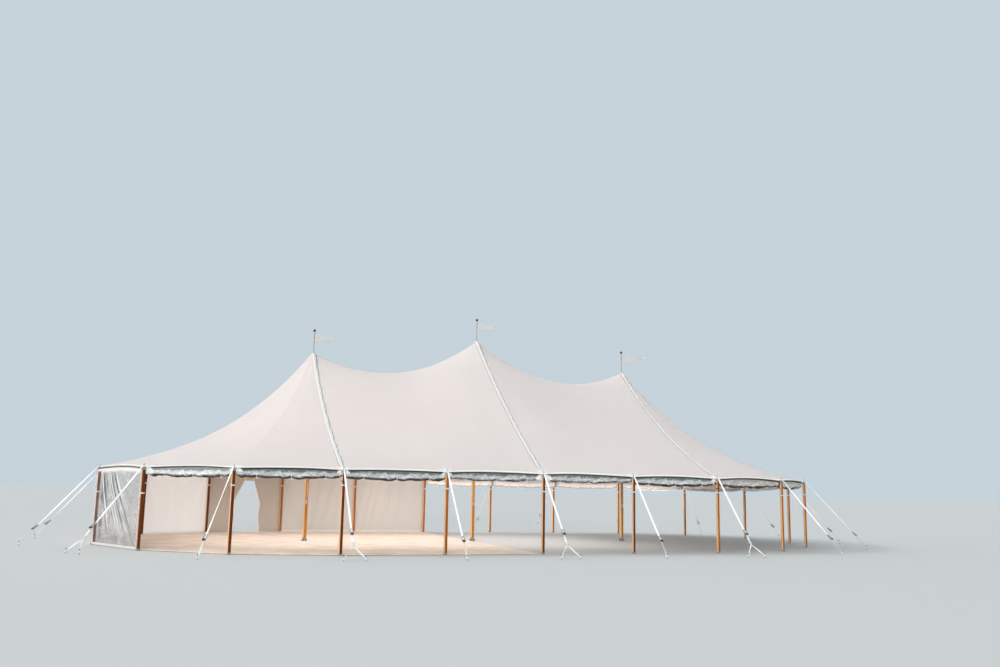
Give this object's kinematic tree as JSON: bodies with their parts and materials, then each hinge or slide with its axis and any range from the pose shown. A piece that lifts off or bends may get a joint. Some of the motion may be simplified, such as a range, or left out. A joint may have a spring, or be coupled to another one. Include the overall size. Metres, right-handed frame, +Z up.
{
  "type": "marquee tent",
  "caption": "Sailcloth pole tent with a peaked roof, half-round ends, wooden poles, ratchet guys, part walls and a boarded floor.",
  "frame": {"origin": "on the ground at the foot of the middle centre pole", "axes": "+X along the length of the tent towards the open end, +Y towards the back with the hanging walls, +Z up"},
  "size_m": [29.5178, 17.784, 8.2673],
  "materials": {
    "sailcloth": "matte woven",
    "wall_cloth": "matte",
    "clear_film": "glossy clear film",
    "varnished_wood": "varnished",
    "webbing": "woven strap",
    "floor_boards": "bare boards",
    "steel": "galvanised"
  },
  "bodies": {
    "root": {"roof_left_end": "sailcloth", "roof_left_bay": "sailcloth", "roof_right_bay": "sailcloth", "roof_right_end": "sailcloth", "centre_pole_left": "varnished_wood", "centre_pole_middle": "varnished_wood", "centre_pole_right": "varnished_wood", "flag_left": "steel", "flag_middle": "steel", "flag_right": "steel", "side_pole_01": "varnished_wood", "side_pole_02": "varnished_wood", "side_pole_03": "varnished_wood", "side_pole_04": "varnished_wood", "side_pole_05": "varnished_wood", "side_pole_06": "varnished_wood", "side_pole_07": "varnished_wood", "side_pole_08": "varnished_wood", "side_pole_09": "varnished_wood", "side_pole_10": "varnished_wood", "side_pole_11": "varnished_wood", "side_pole_12": "varnished_wood", "side_pole_13": "varnished_wood", "side_pole_14": "varnished_wood", "side_pole_15": "varnished_wood", "side_pole_16": "varnished_wood", "side_pole_17": "varnished_wood", "side_pole_18": "varnished_wood", "side_pole_19": "varnished_wood", "side_pole_20": "varnished_wood", "side_pole_21": "varnished_wood", "side_pole_22": "varnished_wood", "guy_01": "webbing", "guy_02": "webbing", "guy_03": "webbing", "guy_04": "webbing", "guy_05": "webbing", "guy_06": "webbing", "guy_07": "webbing", "guy_08": "webbing", "guy_09": "webbing", "guy_10": "webbing", "guy_11": "webbing", "guy_12": "webbing", "guy_13": "webbing", "guy_14": "webbing", "guy_15": "webbing", "guy_16": "webbing", "guy_17": "webbing", "guy_18": "webbing", "guy_19": "webbing", "guy_20": "webbing", "guy_21": "webbing", "guy_22": "webbing", "clear_wall": "clear_film", "end_wall": "wall_cloth", "rear_wall": "wall_cloth", "rolled_walls_front": "clear_film", "rolled_walls_right": "clear_film", "boarded_floor": "floor_boards"}
  },
  "joints": []
}
